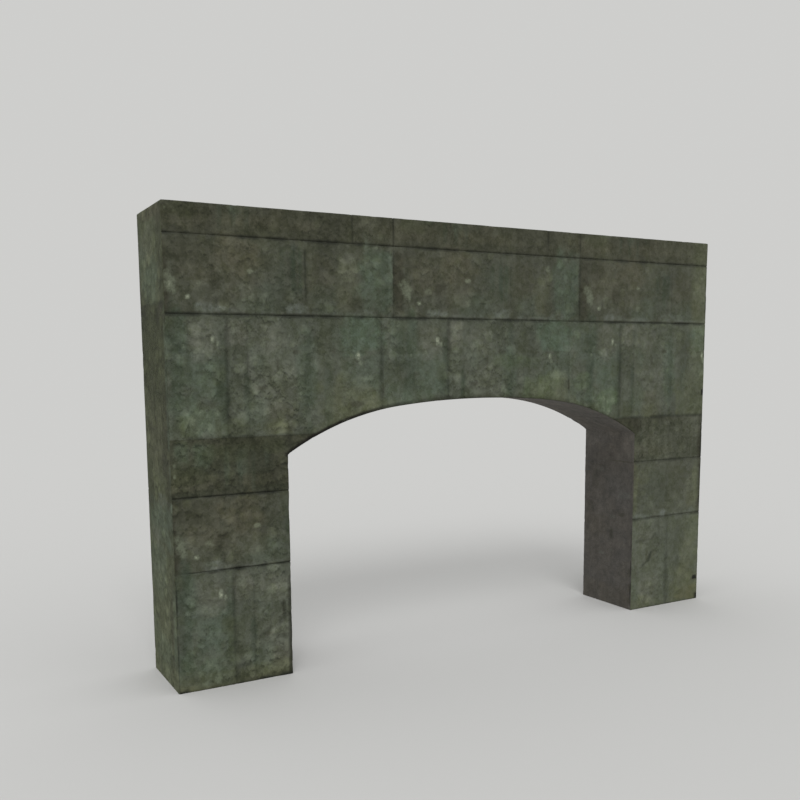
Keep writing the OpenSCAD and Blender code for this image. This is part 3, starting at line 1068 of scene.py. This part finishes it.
def rimTone(s, tone):
    # dark moss along the edge of the opening, its dark rim of dirt and, along the arch, painted shade, and
    # the painted highlight beyond that
    outside = fromOpening(s.x, s.z)
    crust = 1 - rise(outside + rims["crustRagged"] * s.ragged, *rims["crustEdge"])
    crust = rims["crust"] * crust * rise(s.x, *rims["crustStart"]) * s.onFace
    tone = mixTo(tone, colours["crust"], crust * (s.z > arch["springing"] - rims["crustBelow"]))

    strength = np.interp(s.x, rims["places"], rims["strengths"])
    onFoot = (s.x < 0) * (1 - rise(s.z, beds["middle"] - rims["footFade"], beds["middle"]))
    strength = np.where(s.z < arch["springing"] - 0.02, rims["pier"] * onFoot, strength)
    reach = rims["reach"] * patchy(s, "patchyReach")
    away = np.where(s.onJamb, s.inward, outside)
    width = np.where(s.onJamb, rims["jambReach"] * reach, reach)
    full, none = (share * width for share in rims["edge"])
    rim = strength * (1 - rise(away, full, none)) * patchy(s, "patchyRim")
    start, full, fading, end = (share * reach for share in rims["line"])
    line = strength * rise(away, start, full) * (1 - rise(away, fading, end)) * ~s.onJamb * s.spotty
    byJamb = s.sides[2]["jamb"] + s.sides[0]["jamb"] + s.sides[1]["jamb"] > 0
    byOpening = s.onFace | (s.onJamb & byJamb)
    # painted highlight on the pale band just beyond the rim
    tone = tone * (1 + rims["paintedHighlight"] * line * byOpening)[:, None]
    # the dark rim: dirt, and along the arch also painted shade of the arris that faces down
    return mixTo(tone, colours["rim"], np.clip(rim, 0, 1) * byOpening)


# Crooked cracks on the right pier and low on the left one: from, to, half width, strength
crookedCracks = (
    ((3.22, 0.72), (3.34, 0.80), 0.018, 0.55),
    ((3.34, 0.80), (3.40, 0.93), 0.020, 0.65),
    ((3.40, 0.93), (3.52, 0.97), 0.016, 0.40),
    ((3.08, 1.14), (3.40, 1.15), 0.016, 0.35),
    ((3.40, 1.15), (3.50, 1.24), 0.016, 0.40),
    ((-3.10, 0.98), (-3.06, 0.84), 0.026, 0.50),
    ((-3.08, 0.80), (-3.14, 0.74), 0.022, 0.45),
    ((-3.22, 0.58), (-3.06, 0.53), 0.020, 0.38),
    ((-3.14, 1.42), (-3.06, 1.36), 0.020, 0.42),
    ((-3.46, 0.56), (-3.26, 0.68), 0.020, 0.35),
)

# Their dirt is full at the first of these half widths and gone at the second.
crookedShape = {"ragged": 0.06, "edge": (0.2, 2.2)}


def crookedAt(s):
    dark = np.zeros(len(s.x))
    for start, end, width, strength in crookedCracks:
        first, step = np.array(start), np.array(end) - start
        offset = np.stack([s.x - first[0], s.z - first[1]], -1)
        part = np.clip(offset @ step / (step @ step), 0, 1)
        away = np.hypot(*(offset - part[:, None] * step).T) + crookedShape["ragged"] * s.ragged
        full, none = (share * width for share in crookedShape["edge"])
        dark = np.maximum(dark, strength * (1 - rise(away, full, none)))
    return dark * s.onFace


# The dirt along the edges of the blocks
edgeDirt = {
    "halo": (0.3, 1.3),       # plain share of the halo's width, and more where the stone is spotty
    "solid": 0.15,
    "spots": (2.6, 0.40),     # times the spots, less this
    "range": (0.25, 1.25),
    "cleaner": 0.25,          # at the bed under the coping, on the right
    "cleanerFrom": (-0.5, 0.5),
    "bedReach": 0.1,
    "salted": 0.8,            # how much of it lime salt hides
}


def dirtAt(s, salt):
    # in the cracks and along the edges of the block
    dirt = np.maximum(s.crackMark, crookedAt(s))
    plain, more = edgeDirt["halo"]
    steep, less = edgeDirt["spots"]
    for side in s.sides:
        spread = side["halo"] * (plain + more * s.spotty)
        edge = side["dirt"] * (1 - rise(side["away"], edgeDirt["solid"] * spread, spread))
        edge = edge * np.clip(steep * s.spotty - less, *edgeDirt["range"])
        dirt = np.maximum(dirt, np.where(s.onFace, edge, 0))
    byCoping = np.abs(s.z - beds["coping"]) < edgeDirt["bedReach"]
    dirt = dirt * (1 - edgeDirt["cleaner"] * rise(s.x, *edgeDirt["cleanerFrom"]) * byCoping)
    return dirt * (1 - lime["cleaned"] * limeFilled(s.x, s.z)) * (1 - edgeDirt["salted"] * salt)


# How strongly the soft lumps show
lumpiness = {
    "plain": 0.46,
    "more": 0.30,         # at one stretch of the lowest course, and where it repeats
    "place": 0.62,
    "reach": (0.30, 0.70),
    "coping": 0.6,
    "end": 0.8,
    "lessRight": 0.35,
    "rightward": (0, 3.5),
}


def lumpsAt(s):
    stretch = 1 - rise(np.abs(wrapAlong(s.along - lumpiness["place"])), *lumpiness["reach"])
    lumps = lumpiness["plain"] + lumpiness["more"] * (s.up < beds["middle"]) * stretch
    place = np.where(s.onCoping, lumpiness["coping"], np.where(s.onEnd, lumpiness["end"], 1.0))
    lumps = np.where(s.onJamb, 0, place * lumps)
    return lumps * (1 - lumpiness["lessRight"] * rise(s.x, *lumpiness["rightward"]))


# How strongly the stone's patches and grain show, along the wall
contrasts = {
    "places": (-4.5, -1.0, 4.5),
    "shares": (1.20, 1.05, 0.80),
    "dark": 1.30,         # on the dark course and the coping, and a little more where they are dry
    "dry": 0.20,
    "end": 1.35,
}


def contrastAt(s):
    contrast = np.interp(s.x, contrasts["places"], contrasts["shares"])
    dark = (s.up > beds["springer"]) | s.onCoping
    contrast = contrast * np.where(dark, contrasts["dark"] + contrasts["dry"] * s.dry, 1.0)
    return np.where(s.onEnd, contrasts["end"], contrast)


def addWeathering(mesh, s):
    # the tone of every point, and its growth, dirt, lumpiness and contrast for the material to draw
    plain = courseTone(s)
    mute = np.where(s.onEnd, mutedTo["end"], np.where(s.onRightPier, mutedTo["rightPier"], 1.0))
    tone, salt = addMarks(s, plain, marks, s.along, s.up, True, mute)
    tone, faceSalt = faceTone(s, np.where(s.onTop[:, None], plain, tone))
    tone = np.where(s.onEnd[:, None], endTone(s, tone), tone)
    tone = rimTone(s, np.where(s.onJamb[:, None], cementTone(s), tone))
    cloud = noiseAt(s.points, "cloud") - 0.5
    tone = tone * (1 + toneChange["cloud"] * cloud * s.onFace)[:, None]

    dirt = np.clip(dirtAt(s, np.maximum(salt, faceSalt)), 0, 1)
    drawn = np.stack([growthAt(s), dirt, lumpsAt(s), contrastAt(s)], -1)
    for name, values in (("tone", tone), ("marks", drawn)):
        layer = mesh.attributes.new(name, "FLOAT_COLOR", "POINT")
        rgba = np.ones((len(s.points), 4), np.float32)
        rgba[:, :values.shape[1]] = np.clip(values, 0, 2)
        layer.data.foreach_set("color", rgba.ravel())


# Sizes are in lumps to the metre. A second number is how far the lumps change the tone or bend the pattern.
finish = {
    "bend": (6.0, 0.05),
    "tear": (24.0, 0.016),
    "grit": (55.0, 0.17),
    "patches": (4.2, 10.0, 24.0),       # bare stone among moss, in three sizes
    "patchShares": (0.36, 0.40, 0.24),
    "patchTone": 0.21,
    "mossTint": (0.98, 1.01, 0.86),
    "lumps": (5.6, 0.58),
    "lumpBend": (11.0, 0.060),
    "smallLumps": (13.0, 0.24),
    "gatherings": 2.6,                  # where the lumps come together
    "lip": (0.034, 0.25),               # height and darkness of the shade below a lump
    "streakSize": (11, 11, 1.1),
    "streaks": 0.10,
    "crackSize": 4.6,
    "crackBreaks": 5.0,
    "crackDark": 0.040,
    "darkest": 0.45,                    # the least that is left of the tone
    "growthEdge": 24.0,
    "growthPale": 1.7,
    "pitSize": 31.0,
    "pitPlaces": 5.3,
    "pitDark": 0.30,
    "bump": 0.8,
    "bumpHeight": 0.006,
    "roughness": (0.82, 0.97),
}


class Nodes:
    # a short way to write a material's node tree
    def __init__(self, name):
        self.material = bpy.data.materials.new(name)
        self.material.use_nodes = True
        self.tree = self.material.node_tree
        self.shader = self.tree.nodes["Principled BSDF"]
        self.place = self.make("ShaderNodeTexCoord").outputs["Object"]

    def make(self, kind, **settings):
        node = self.tree.nodes.new(kind)
        for key, value in settings.items():
            setattr(node, key, value)
        return node

    def put(self, socket, value):
        if isinstance(value, bpy.types.NodeSocket):
            self.tree.links.new(value, socket)
        elif isinstance(value, (tuple, list, np.ndarray)):
            socket.default_value = (*value, 1) if len(socket.default_value) == 4 else value
        else:
            socket.default_value = value

    def maths(self, operation, first, second, clamp=False, third=0.0):
        node = self.make("ShaderNodeMath", operation=operation, use_clamp=clamp)
        for index, entry in enumerate((first, second, third)):
            self.put(node.inputs[index], entry)
        return node.outputs[0]

    def scaled(self, value, low, high, newLow, newHigh, smooth=False):
        node = self.make("ShaderNodeMapRange", interpolation_type="SMOOTHSTEP" if smooth else "LINEAR")
        for index, entry in enumerate((value, low, high, newLow, newHigh)):
            self.put(node.inputs[index], entry)
        return node.outputs[0]

    def moved(self, scale, place=None):
        node = self.make("ShaderNodeMapping")
        self.put(node.inputs["Vector"], place or self.place)
        node.inputs["Scale"].default_value = scale
        return node.outputs[0]

    def noise(self, scale, detail=2.0, roughness=0.5, place=None):
        node = self.make("ShaderNodeTexNoise")
        self.put(node.inputs["Vector"], place or self.place)
        node.inputs["Scale"].default_value = scale
        node.inputs["Detail"].default_value = detail
        node.inputs["Roughness"].default_value = roughness
        return node.outputs["Fac"]

    def cells(self, scale, place, feature="F1", output="Color"):
        node = self.make("ShaderNodeTexVoronoi", feature=feature)
        self.put(node.inputs["Vector"], place)
        node.inputs["Scale"].default_value = scale
        return node.outputs[output]

    def warped(self, scale, reach, place=None):
        node = self.make("ShaderNodeTexNoise")
        self.put(node.inputs["Vector"], self.place)
        node.inputs["Scale"].default_value = scale
        node.inputs["Detail"].default_value = 2
        centred = self.make("ShaderNodeVectorMath", operation="SUBTRACT")
        self.put(centred.inputs[0], node.outputs["Color"])
        centred.inputs[1].default_value = (0.5, 0.5, 0.5)
        sized = self.make("ShaderNodeVectorMath", operation="SCALE")
        self.put(sized.inputs[0], centred.outputs[0])
        sized.inputs["Scale"].default_value = reach
        total = self.make("ShaderNodeVectorMath", operation="ADD")
        self.put(total.inputs[0], place or self.place)
        self.put(total.inputs[1], sized.outputs[0])
        return total.outputs[0]

    def attribute(self, name, output="Color"):
        node = self.make("ShaderNodeAttribute", attribute_name=name, attribute_type="GEOMETRY")
        return node.outputs[output]

    def split(self, colour):
        node = self.make("ShaderNodeSeparateColor")
        self.put(node.inputs[0], colour)
        return node.outputs

    def blend(self, share, first, second, kind="MIX"):
        node = self.make("ShaderNodeMix", data_type="RGBA", blend_type=kind)
        self.put(node.inputs[0], share)
        self.put(node.inputs[6], first)
        self.put(node.inputs[7], second)
        return node.outputs[2]

    def shade(self, colour, factor):
        # the colour made lighter or darker by a number
        node = self.make("ShaderNodeVectorMath", operation="SCALE")
        self.put(node.inputs[0], colour)
        self.put(node.inputs["Scale"], factor)
        return node.outputs[0]

    def done(self, colour, roughness, height, strength, reach):
        bump = self.make("ShaderNodeBump")
        bump.inputs["Strength"].default_value = strength
        bump.inputs["Distance"].default_value = reach
        self.put(bump.inputs["Height"], height)
        self.put(self.shader.inputs["Base Color"], colour)
        self.put(self.shader.inputs["Roughness"], roughness)
        self.put(self.shader.inputs["Normal"], bump.outputs[0])
        self.shader.inputs["Specular IOR Level"].default_value = 0.25
        return self.material


def makeLumps(n, scale, place, lip, separate=True):
    # how far each soft lump stands out, and the shade just below it
    higher = n.make("ShaderNodeVectorMath", operation="ADD")
    n.put(higher.inputs[0], place)
    higher.inputs[1].default_value = (0, 0, lip)
    domes = []
    for at in (place, higher.outputs[0]):
        if separate:
            chance = n.split(n.cells(scale, at))[0]
            swelling = n.scaled(n.cells(scale, at, "F1", "Distance"), 0.58, 0.22, 0, 1, True)
            domes.append(n.maths("MULTIPLY", swelling, n.scaled(chance, 0.30, 0.85, 0, 1, True)))
        else:
            domes.append(n.scaled(n.noise(scale, 3, 0.55, at), 0.48, 0.60, 0, 1, True))
    return domes[0], n.maths("SUBTRACT", domes[1], domes[0], True)


def makeFaceStone(values):
    n = Nodes("faceStone")
    growth, dirt, lumpShare = n.split(n.attribute("marks"))
    bent = n.warped(*values["bend"])
    torn = n.warped(*values["tear"], bent)
    grit = n.noise(values["grit"][0], 6, 0.8)
    streak = n.noise(1.0, 5, 0.7, n.moved(values["streakSize"], bent))
    coarse, fine, specks = (n.noise(scale, 6, 0.64, torn) for scale in values["patches"])
    coarseShare, fineShare, speckShare = values["patchShares"]
    bare = n.maths("MULTIPLY", n.scaled(coarse, 0.45, 0.57, 0, 1, True), coarseShare)
    bare = n.maths("MULTIPLY_ADD", n.scaled(fine, 0.44, 0.57, 0, 1, True), fineShare, third=bare)
    bare = n.maths("MULTIPLY_ADD", n.scaled(specks, 0.42, 0.60, 0, 1, True), speckShare, third=bare)

    # soft lumps where the stone has weathered unevenly, painted lighter as if lit from above, with painted
    # shade just below each
    (size, reach), (smallSize, smallReach) = values["lumps"], values["smallLumps"]
    lip, shadeBelowDark = values["lip"]
    shaped = n.warped(*values["lumpBend"], bent)
    lump, under = makeLumps(n, size, shaped, lip)
    smallLump, smallShadeBelow = makeLumps(n, smallSize, torn, 0.8 * lip, False)
    gathered = n.scaled(n.noise(values["gatherings"], 4, 0.65), 0.38, 0.60, 0.35, 1, True)
    gathered = n.maths("MULTIPLY", gathered, n.maths("ADD", lumpShare, 0.20))
    lumpLightAndShade = n.maths("MULTIPLY_ADD", lump, reach, third=n.maths("MULTIPLY", smallLump, smallReach))
    lumpLightAndShade = n.maths("MULTIPLY_ADD", n.maths("ADD", under, smallShadeBelow), -shadeBelowDark, third=lumpLightAndShade)
    lumpLightAndShade = n.maths("MULTIPLY", n.maths("SUBTRACT", lumpLightAndShade, 0.10), gathered)

    # all of it together, stronger in some places than in others
    change = n.maths("MULTIPLY_ADD", n.scaled(bare, 0, 1, -1, 1), values["patchTone"], third=lumpLightAndShade)
    for field, reach in ((grit, values["grit"][1]), (streak, values["streaks"])):
        change = n.maths("MULTIPLY_ADD", n.scaled(field, 0.3, 0.7, -1, 1), reach, third=change)
    change = n.maths("MULTIPLY_ADD", change, n.attribute("marks", "Alpha"), third=1.0)
    colour = n.shade(n.attribute("tone"), n.maths("MAXIMUM", change, values["darkest"]))
    colour = n.blend(n.scaled(bare, 0, 0.7, 1, 0), colour, values["mossTint"], "MULTIPLY")

    # short dark crevices, between the lumps and in broken lengths
    fromCrack = n.cells(values["crackSize"], torn, "DISTANCE_TO_EDGE", "Distance")
    crackLine = n.scaled(fromCrack, 0.0, 0.15, 1, 0, True)
    crevice = n.scaled(n.cells(size, shaped, "DISTANCE_TO_EDGE", "Distance"), 0.0, 0.22, 1, 0, True)
    broken = n.scaled(n.noise(values["crackBreaks"], 5, 0.70), 0.49, 0.62, 0, 1, True)
    crack = n.maths("MAXIMUM", crackLine, crevice)
    crack = n.maths("MULTIPLY", crack, n.maths("MULTIPLY", broken, lumpShare))
    colour = n.shade(colour, n.maths("SUBTRACT", 1.0, n.maths("MULTIPLY", crack, values["crackDark"])))

    # pale growths, broken at their edges and white where they are thickest
    fluff = n.noise(values["growthEdge"], 5, 0.75)
    core = n.maths("MULTIPLY", growth, n.scaled(fluff, 0.32, 0.68, 0.50, 1.50))
    pale = n.scaled(core, 0.20, 1.00, 0, 0.85, True)
    white = n.scaled(core, 1.0, 1.9, 0, 0.90, True)
    paleTone = n.blend(0.5, n.shade(n.attribute("tone"), values["growthPale"]), colours["pale"])
    colour = n.blend(pale, colour, n.shade(paleTone, n.scaled(grit, 0.3, 0.7, 0.85, 1.15)))
    colour = n.blend(white, colour, colours["lichen"])

    # pits and dirt
    hole = n.cells(values["pitSize"], bent, "F1", "Distance")
    seldom = n.scaled(n.noise(values["pitPlaces"], 3), 0.50, 0.66, 0, 1, True)
    pit = n.maths("MULTIPLY", n.scaled(hole, 0.10, 0.32, 1, 0, True), seldom)
    grime = n.maths("MULTIPLY", dirt, n.scaled(fluff, 0.3, 0.6, 0.7, 1.12))
    dark = n.maths("MAXIMUM", n.maths("MULTIPLY", pit, values["pitDark"]), grime, True)
    colour = n.blend(dark, colour, colours["dirt"])

    height = n.maths("MULTIPLY", grit, 0.5)
    raised = ((lump, 0.3), (smallLump, 0.2), (bare, 0.3), (crack, -0.15), (pit, -0.5), (pale, 0.2))
    for field, share in raised:
        height = n.maths("MULTIPLY_ADD", field, share, third=height)
    rough = n.scaled(grit, 0.3, 0.7, *values["roughness"])
    return n.done(colour, rough, height, values["bump"], values["bumpHeight"])


cementFinish = {
    "bend": (8.0, 0.06),
    "grain": (50.0, 0.22),
    "clouds": (6.0, 0.31),
    "warmPlaces": 1.5,
    "warmTint": (1.0, 0.975, 0.94),
    "streakSize": (12, 12, 1.2),
    "streaks": 0.08,
    "lumpSize": 13.0,
    # height of the painted shade below a lump
    "lip": 0.012,
    "pitSize": 17.0,
    "pitPlaces": 4.1,
    "pitDark": 0.40,
    "bump": 0.6,
    "bumpHeight": 0.005,
    "roughness": (0.86, 0.97),
}


def makeJambCement(values):
    n = Nodes("jambCement")
    bent = n.warped(*values["bend"])
    grain = n.noise(values["grain"][0], 6, 0.75)
    cloud = n.noise(values["clouds"][0], 6, 0.72, bent)
    streak = n.noise(1.0, 4, 0.6, n.moved(values["streakSize"], bent))
    warm = n.scaled(n.noise(values["warmPlaces"], 5, 0.65), 0.42, 0.60, 0, 1, True)
    colour = n.blend(warm, n.attribute("tone"), values["warmTint"], "MULTIPLY")
    for field, (scale, reach) in ((grain, values["grain"]), (cloud, values["clouds"])):
        colour = n.shade(colour, n.scaled(field, 0.3, 0.7, 1 - reach, 1 + reach))
    colour = n.shade(colour, n.scaled(streak, 0.3, 0.7, 1 - values["streaks"], 1 + values["streaks"]))
    # lumps a little lighter, with painted shade just below each, as if lit from above
    lump, under = makeLumps(n, values["lumpSize"], bent, values["lip"])
    colour = n.shade(colour, n.maths("MULTIPLY_ADD", lump, 0.07, third=n.scaled(under, 0, 1, 0.98, 0.82)))
    hole = n.cells(values["pitSize"], bent, "F1", "Distance")
    seldom = n.scaled(n.noise(values["pitPlaces"], 3), 0.54, 0.66, 0, 1, True)
    pit = n.maths("MULTIPLY", n.scaled(hole, 0.08, 0.26, 1, 0, True), seldom)
    colour = n.blend(n.maths("MULTIPLY", pit, values["pitDark"]), colour, colours["dirt"])
    height = n.maths("MULTIPLY_ADD", pit, -0.7, third=n.maths("ADD", grain, n.maths("MULTIPLY", lump, 0.4)))
    rough = n.scaled(grain, 0.3, 0.7, *values["roughness"])
    return n.done(colour, rough, height, values["bump"], values["bumpHeight"])


faceStone = makeFaceStone(finish)
jambCement = makeJambCement(cementFinish)
print("finishes made:", faceStone.name, jambCement.name)

for blockName, blockEdges in blocks.items():
    stone = makeBlock(blockName, blockEdges)
    stone.data.materials.append(faceStone)
    stone.data.materials.append(jambCement)
    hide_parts(blockName)
    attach(stone, "root")
print("blocks laid:", len(blocks))
